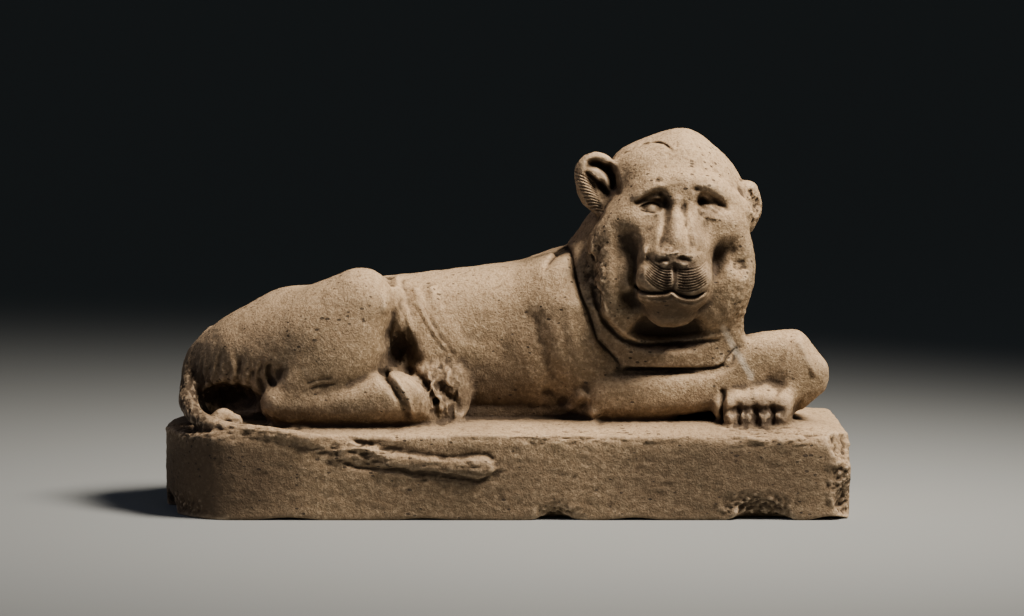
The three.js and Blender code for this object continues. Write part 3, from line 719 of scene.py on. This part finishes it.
MOUTH = [
    (200, 357), (208, 350), (225, 347), (245, 348), (256, 351),
    (266, 345), (279, 341), (294, 342), (310, 351),
]
LIP_THICKNESS = 5
lower_lip = [(x, z - LIP_THICKNESS) for x, z in MOUTH]
stroke(lower_lip, 4.4, 6, MUZZLE, tip=0.06)
stroke(MOUTH, 2.6, -3.5, MUZZLE, tip=0.05)
print("whisker lines:", 2 * WHISKER_ROWS)

# %% Combed ear
COMB_LINES = 12

for n in range(COMB_LINES):
    share = n / (COMB_LINES - 1)
    start = (108 + 28 * share**1.4, 528 - 64 * share)
    end = (141 + 14 * share, 507 - 42 * share)
    middle = ((start[0] + end[0]) / 2, (start[1] + end[1]) / 2 + 2)
    stroke([start, middle, end], 1.8, -2.4, EARS, tip=0.1)
print("combed lines:", COMB_LINES)

# %% Hairline, mane and bib
HAIRLINE = [(176, 546), (190, 555), (205, 562), (222, 569), (238, 571), (250, 568), (262, 558)]
MANE_EDGE = [(58, 366), (72, 384), (84, 395), (97, 402), (103, 401), (108, 380), (117, 341), (130, 311),
             (142, 273), (152, 260), (167, 245), (183, 225)]
BIB_EDGE = [(183, 223.5), (260, 224), (322, 226), (340, 232)]
BIB_CORNER = [(338, 231), (344, 242), (360, 260)]
CHEST_LINE = [(377, 276), (385, 284), (392, 292)]
RUFF_EDGE = [(133, 358), (140, 339), (144, 321), (153, 300), (166, 285), (181, 271), (194, 266), (209, 261),
             (240, 260), (281, 262), (300, 266), (322, 269), (338, 271)]
stroke([(x + 5, z + 7) for x, z in RUFF_EDGE], 9, 4, (-200, -40))
stroke(RUFF_EDGE, 5, -6, (-200, -40), vee=True)
stroke(HAIRLINE, 3, -5, tip=0.15)
stroke(MANE_EDGE, 3.2, -5, (-200, 60), tip=0.1)
stroke(BIB_EDGE, 4, -7, (-200, -60), tip=0.05)
stroke(BIB_CORNER, 2.6, -4, (-200, -60), tip=0.2)
stroke(CHEST_LINE, 2.2, -3, (-200, 0), tip=0.2)
print("places on the mane's edge:", len(MANE_EDGE))

# %% Rims of the left eye
EYE_RIMS = [
    [(206, 474), (216, 479), (228, 481), (240, 477)],
    [(208, 471), (219, 467.5), (231, 466.5), (242, 470)],
]
for rim in EYE_RIMS:
    stroke(rim, 2, -3, EYES, tip=0.1)
print("eye rims:", len(EYE_RIMS))

# %% [markdown]
# ## Fewer faces where the stone is plain
# The skin now has far more faces than it needs. A Decimate modifier merges them where the stone is nearly
# flat, and leaves the small faces of the lines and broken places, because merging those would change
# the shape most.

# %% Decimate
MOST_FACES = 196_000

write_skin()
stone.data.calc_loop_triangles()
fewer = stone.modifiers.new("fewer", "DECIMATE")
fewer.ratio = MOST_FACES / len(stone.data.loop_triangles)
fewer.use_collapse_triangulate = True
keep()
stone.data.polygons.foreach_set("use_smooth", np.ones(len(stone.data.polygons), bool))
at, out = read_skin()
print("faces left:", len(stone.data.polygons))

# %% [markdown]
# ## Where shade and dirt sit, and where hands rub
# A few numbers per point tell the stone's colour what the shape alone knows. The first is how sheltered a
# point is: twenty short rays leave it, and the share that meets stone nearby is kept. The colour darkens
# with it, which is painted shade in the hollows along with dirt. The second is how far it stands out from
# its neighbours, which is high on crests and low in grooves: crests are rubbed pale, and grooves get
# painted shade with dirt. Large faces would make plain round forms look like crests, so that is scaled
# down where the points lie far apart.

# %% Neighbours
ends = skin_edges()
count = np.bincount(ends.ravel(), minlength=len(at)).astype(float)


def averaged(values, rounds):
    """Values evened out between neighbouring points."""
    for _ in range(rounds):
        total = np.zeros_like(values)
        np.add.at(total, ends[:, 0], values[ends[:, 1]])
        np.add.at(total, ends[:, 1], values[ends[:, 0]])
        values = 0.5 * values + 0.5 * (total.T / count).T
    return values


print("neighbours of a point:", count.mean().round(1))

# %% Shelter
RAYS = 20
RAY_REACH = 110
RAY_START = 1.5
FAR_LOSS = 0.6


def shelter():
    """The share of rays from each point that meet stone nearby."""
    faces = [face.vertices[:] for face in stone.data.polygons]
    near_stone = BVHTree.FromPolygons((at * MM).tolist(), faces)
    turn = math.pi * (3 - math.sqrt(5))
    tops = [1 - (n + 0.5) / RAYS for n in range(RAYS)]
    fan = [(math.cos(n * turn) * math.sqrt(1 - t * t), math.sin(n * turn) * math.sqrt(1 - t * t), t)
           for n, t in enumerate(tops)]
    met = np.zeros(len(at))
    for n, (spot, way) in enumerate(zip(at, out)):
        lie = Vector(way).to_track_quat("Z", "Y")
        start = Vector(spot + RAY_START * way) * MM
        for ray in fan:
            gap = near_stone.ray_cast(start, lie @ Vector(ray), RAY_REACH * MM)[3]
            if gap is not None:
                met[n] += 1 - FAR_LOSS * gap / (RAY_REACH * MM)
    return met / RAYS


# how shut in each point is; it darkens the colour as painted shade with dirt
hollow_shade_and_dirt = averaged(shelter(), 2)
print("hollow_shade_and_dirt", hollow_shade_and_dirt.mean().round(2), "of 1")

# %% Crests and grooves
CREST_ROUNDS = 8
FINE_SPACING = 2.4

lengths = np.linalg.norm(at[ends[:, 0]] - at[ends[:, 1]], axis=1)
spacing = (np.bincount(ends[:, 0], lengths, len(at)) + np.bincount(ends[:, 1], lengths, len(at))) / count
# high on crests, which are rubbed pale, and low in grooves, which get painted shade with dirt
crest = ((at - averaged(at, CREST_ROUNDS)) * out).sum(1)
crest = np.where(crest > 0, crest * np.minimum(1, (FINE_SPACING / spacing) ** 2), crest)
print("crests up to", crest.max().round(1), "mm")

# %% [markdown]
# ## Stains, painted shade and a scrape
# Some brown places are painted on. The muzzle, the foot of the plinth and the tail's root are stained by
# handling and damp, the plinth's left end is painted darker as shade, and the left paw's toes are darkened.
# Other patches are painted shade: over the eyes, on the chin under the muzzle, on the sides of the nose
# bridge, in the right cheek's hollow and in the hollow before the thigh. They are painted on as soft
# patches, each with its middle, its reach and how dark it is. A pale scrape crosses the mane's right
# corner.
# All of it is kept as numbers on the points, so that the material can read it by name.

# %% Stains
STAINS_AND_SHADE = [
    # the middle, the reach both ways, and how dark
    ((262, 374), (66, 50), 1),
    # painted shade on the chin, under the muzzle
    ((256, 324), (64, 52), 0.8),
    # painted shade over the eyes
    ((226, 474), (24, 14), 0.5),
    ((314, 470), (24, 14), 0.5),
    # stain on the plinth's foot, with painted shade at its left end
    ((-450, 60), (190, 110), 0.85),
    ((-60, 40), (240, 90), 0.45),
    ((330, 60), (260, 100), 0.6),
    # painted shade in the hollow before the thigh
    ((-154, 254), (34, 40), 0.9),
    ((-40, 190), (110, 70), 0.6),
    ((-400, 260), (90, 90), 0.25),
    ((-300, 170), (110, 50), 0.4),
    ((394, 156), (66, 32), 1),
    # painted shade in the right cheek's hollow
    ((325, 396), (26, 32), 0.6),
    ((-95, 190), (50, 60), 0.45),
    ((-482, 175), (50, 90), 1),
    # painted shade on the sides of the nose bridge
    ((252, 460), (14, 40), 0.5),
    ((298, 440), (16, 40), 0.4),
]
# stains and painted shade in one mark
stain_and_shade = np.zeros(len(at))
for middle, reach, dark in STAINS_AND_SHADE:
    flat = at[:, [0, 2]] - np.array(middle, float)
    spread = np.minimum(1.25 * bell_at(flat, reach) ** 0.6, 1)
    stain_and_shade = np.maximum(stain_and_shade, dark * spread * np.clip(0.6 - out[:, 1], 0, 1))
print("stains:", len(STAINS_AND_SHADE))

# %% Scrape, and marks on the points
SCRAPE = [(338, 288), (352, 262), (366, 238), (382, 212)]
SCRAPE_WIDTH = 6

aside = beside(np.array(SCRAPE, float), at[:, [0, 2]])[0]
scrape = np.clip(1.3 - aside / SCRAPE_WIDTH, 0, 1) * (out[:, 1] < -0.2)
marks = {
    "hollow_shade_and_dirt": hollow_shade_and_dirt,
    "crest": averaged(crest, 1),
    # how far the skin faces up; it paints the upper sides lighter, as light from above, with some bleaching
    "top_light_and_bleach": averaged(out[:, 2], 6),
    "stain_and_shade": stain_and_shade,
    "scrape": scrape,
}
for name, values in marks.items():
    mark = stone.data.attributes.new(name, "FLOAT", "POINT")
    mark.data.foreach_set("value", values.astype(np.float32))
print("kept on the points:", ", ".join(marks))

# %% [markdown]
# ## Limestone
# The stone is a buff, porous limestone, dressed with a claw chisel and rubbed down, then worn and stained.
# It is dull. Colour changes over hand-sized patches, and the upper sides are painted paler, as light from
# above with some bleaching. Painted shade and dirt darken the hollows and grooves, stains and painted shade
# darken some sides, crests are rubbed pale, and small pits are dark. Noise on Object coordinates
# needs no image and no unwrapping. The sizes below are real millimetres, turned into a texture scale by
# one division, and where one is drawn coarser the text says so.

# %% Node helper
limestone = bpy.data.materials.new("weathered_buff_limestone")
limestone.use_nodes = True
tree = limestone.node_tree
shader = tree.nodes["Principled BSDF"]


def add(kind, settings=None, links=None):
    """Adds a node with its settings and with the links into its sockets."""
    node = tree.nodes.new(kind)
    for name, value in (settings or {}).items():
        if isinstance(name, str) and hasattr(node, name):
            setattr(node, name, value)
        else:
            node.inputs[name].default_value = value
    for name, source in (links or {}).items():
        tree.links.new(source, node.inputs[name])
    return node


def per_metre(size):
    """The texture scale that gives lumps of a size in millimetres."""
    return 1 / (size * MM)


place = {"Vector": add("ShaderNodeTexCoord").outputs["Object"]}
guides = {
    mark.name: add("ShaderNodeAttribute", {"attribute_name": mark.name}).outputs["Fac"]
    for mark in stone.data.attributes
    if mark.data_type == "FLOAT"
}
print("marks on the stone:", ", ".join(guides))

# %% [markdown]
# ## Patterns in the stone
# Bedding and weather colour the block in hand-sized patches. Inside them the stone is mottled by shell
# and sand grains, and pitted where soft bits fell out. The pits lie along the bed, so their pattern is
# stretched along X. Real grains are under a millimetre, too fine to show here, so they are drawn coarser.

# %% Patches, mottle and pits
PATTERNS = {
    # the size of the lumps, how many finer sizes are mixed in, and how much they show
    "patches": (85, 4, 0.6),
    "mottle": (7, 3, 0.7),
    "speckle": (3, 1, 0.6),
    "pitted": (60, 2, 0.5),
}
for name, (size, detail, rough) in PATTERNS.items():
    settings = {"Scale": per_metre(size), "Detail": detail, "Roughness": rough}
    guides[name] = add("ShaderNodeTexNoise", settings, place).outputs["Fac"]

PIT_SPACING = 10
PIT_STRETCH = 1.8

bed = add("ShaderNodeMapping", {"Scale": (1 / PIT_STRETCH, 1, 1)}, place)
cells = add("ShaderNodeTexVoronoi", {"Scale": per_metre(PIT_SPACING)}, {"Vector": bed.outputs["Vector"]})
pit_reach = add(
    "ShaderNodeMapRange",
    {"From Min": 0.35, "From Max": 0.7, "To Min": 0.02, "To Max": 0.24},
    {"Value": guides["pitted"]},
)
pits = add(
    "ShaderNodeMath",
    {"operation": "LESS_THAN"},
    {0: cells.outputs["Distance"], 1: pit_reach.outputs["Result"]},
)
guides["pits"] = pits.outputs[0]
print("patterns:", ", ".join(PATTERNS))

# %% [markdown]
# ## One colour over another
# A painter would lay this stone down in thin coats, and so does this cell. Each coat is a colour and a
# guide: a pattern, or one of the marks measured on the skin. The coat starts where the guide has its first
# value and is at its full share at the second. The coat on the upper sides is painted light from above,
# with some bleaching. The last coats are painted shade with dirt in the hollows and grooves, the rubbed
# crests, the pale scrape and the pits.

# %% Coats of colour
GROUND = "#7d6a50"
COATS = [
    # the guide, where the coat starts and where it is full, its greatest share, and its colour
    ("patches", 0.36, 0.66, 1, "#937c60"),
    # painted light from above, with some bleaching: paler where the skin faces up
    ("top_light_and_bleach", 0.05, 0.75, 0.85, "#c8aa86"),
    ("mottle", 0.5, 0.72, 0.55, "#ccb391"),
    ("mottle", 0.5, 0.3, 0.55, "#6b553b"),
    # stains, with painted shade where the patches say so
    ("stain_and_shade", 0, 1, 0.95, "#3f3122"),
    ("speckle", 0.44, 0.28, 0.5, "#54422d"),
    # painted shade with dirt in the hollows
    ("hollow_shade_and_dirt", 0.15, 0.7, 0.8, "#2a2017"),
    # painted shade with dirt in the grooves
    ("crest", -0.15, -0.9, 0.85, "#382a1b"),
    ("crest", 0.15, 1, 0.45, "#d2b998"),
    ("scrape", 0.2, 1, 0.55, "#d8cab5"),
    ("pits", 0, 1, 0.8, "#2c2117"),
]
BELOW, ABOVE, MIXED = 6, 7, 2

skin = None
for guide, start, full, share, code in COATS:
    limits = {"From Min": start, "From Max": full, "To Max": share}
    amount = add("ShaderNodeMapRange", limits, {"Value": guides[guide]})
    coat = add("ShaderNodeMix", {"data_type": "RGBA", ABOVE: colour(code)}, {0: amount.outputs["Result"]})
    if skin is None:
        coat.inputs[BELOW].default_value = colour(GROUND)
    else:
        tree.links.new(skin, coat.inputs[BELOW])
    skin = coat.outputs[MIXED]
tree.links.new(skin, shader.inputs["Base Color"])
print("coats of colour:", len(COATS))

# %% [markdown]
# ## Grain and tool marks
# What is too fine for the mesh is left to a Bump node: the grain, the pits, and the level rows of a claw
# chisel. Those rows are 3 to 5 mm apart, too fine to show at this distance, so they are drawn coarser.
# The stone scatters light like chalk, and only the rubbed crests have a faint gloss.

# %% Bump and gloss
GRAIN_SIZE = 3.5
MARK_PITCH = 8
MARK_SHARE = 0.35
MARK_STRETCH = (0.22, 0.5, 1)
BUMP_DEPTH = 2.4 * MM

grain = add("ShaderNodeTexNoise", {"Scale": per_metre(GRAIN_SIZE), "Detail": 3, "Roughness": 0.7}, place)
level = add("ShaderNodeMapping", {"Scale": MARK_STRETCH}, place)
rows = add(
    "ShaderNodeTexNoise",
    {"Scale": per_metre(MARK_PITCH), "Detail": 2},
    {"Vector": level.outputs["Vector"]},
)
marked = add(
    "ShaderNodeMath",
    {"operation": "MULTIPLY_ADD", 1: MARK_SHARE},
    {0: rows.outputs["Fac"], 2: grain.outputs["Fac"]},
)
holes = add("ShaderNodeMath", {"operation": "SUBTRACT"}, {0: marked.outputs[0], 1: guides["pits"]})
bump = add("ShaderNodeBump", {"Strength": 0.9, "Distance": BUMP_DEPTH}, {"Height": holes.outputs[0]})
gloss = add("ShaderNodeMapRange", {"To Min": 0.8, "To Max": 0.5}, {"Value": guides["crest"]})
tree.links.new(bump.outputs["Normal"], shader.inputs["Normal"])
tree.links.new(gloss.outputs["Result"], shader.inputs["Roughness"])
shader.inputs["Specular IOR Level"].default_value = 0.35
stone.data.materials.clear()
stone.data.materials.append(limestone)
print("limestone has", len(tree.nodes), "nodes")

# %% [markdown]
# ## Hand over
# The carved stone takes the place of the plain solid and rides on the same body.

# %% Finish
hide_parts("lion")
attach(stone, "root")
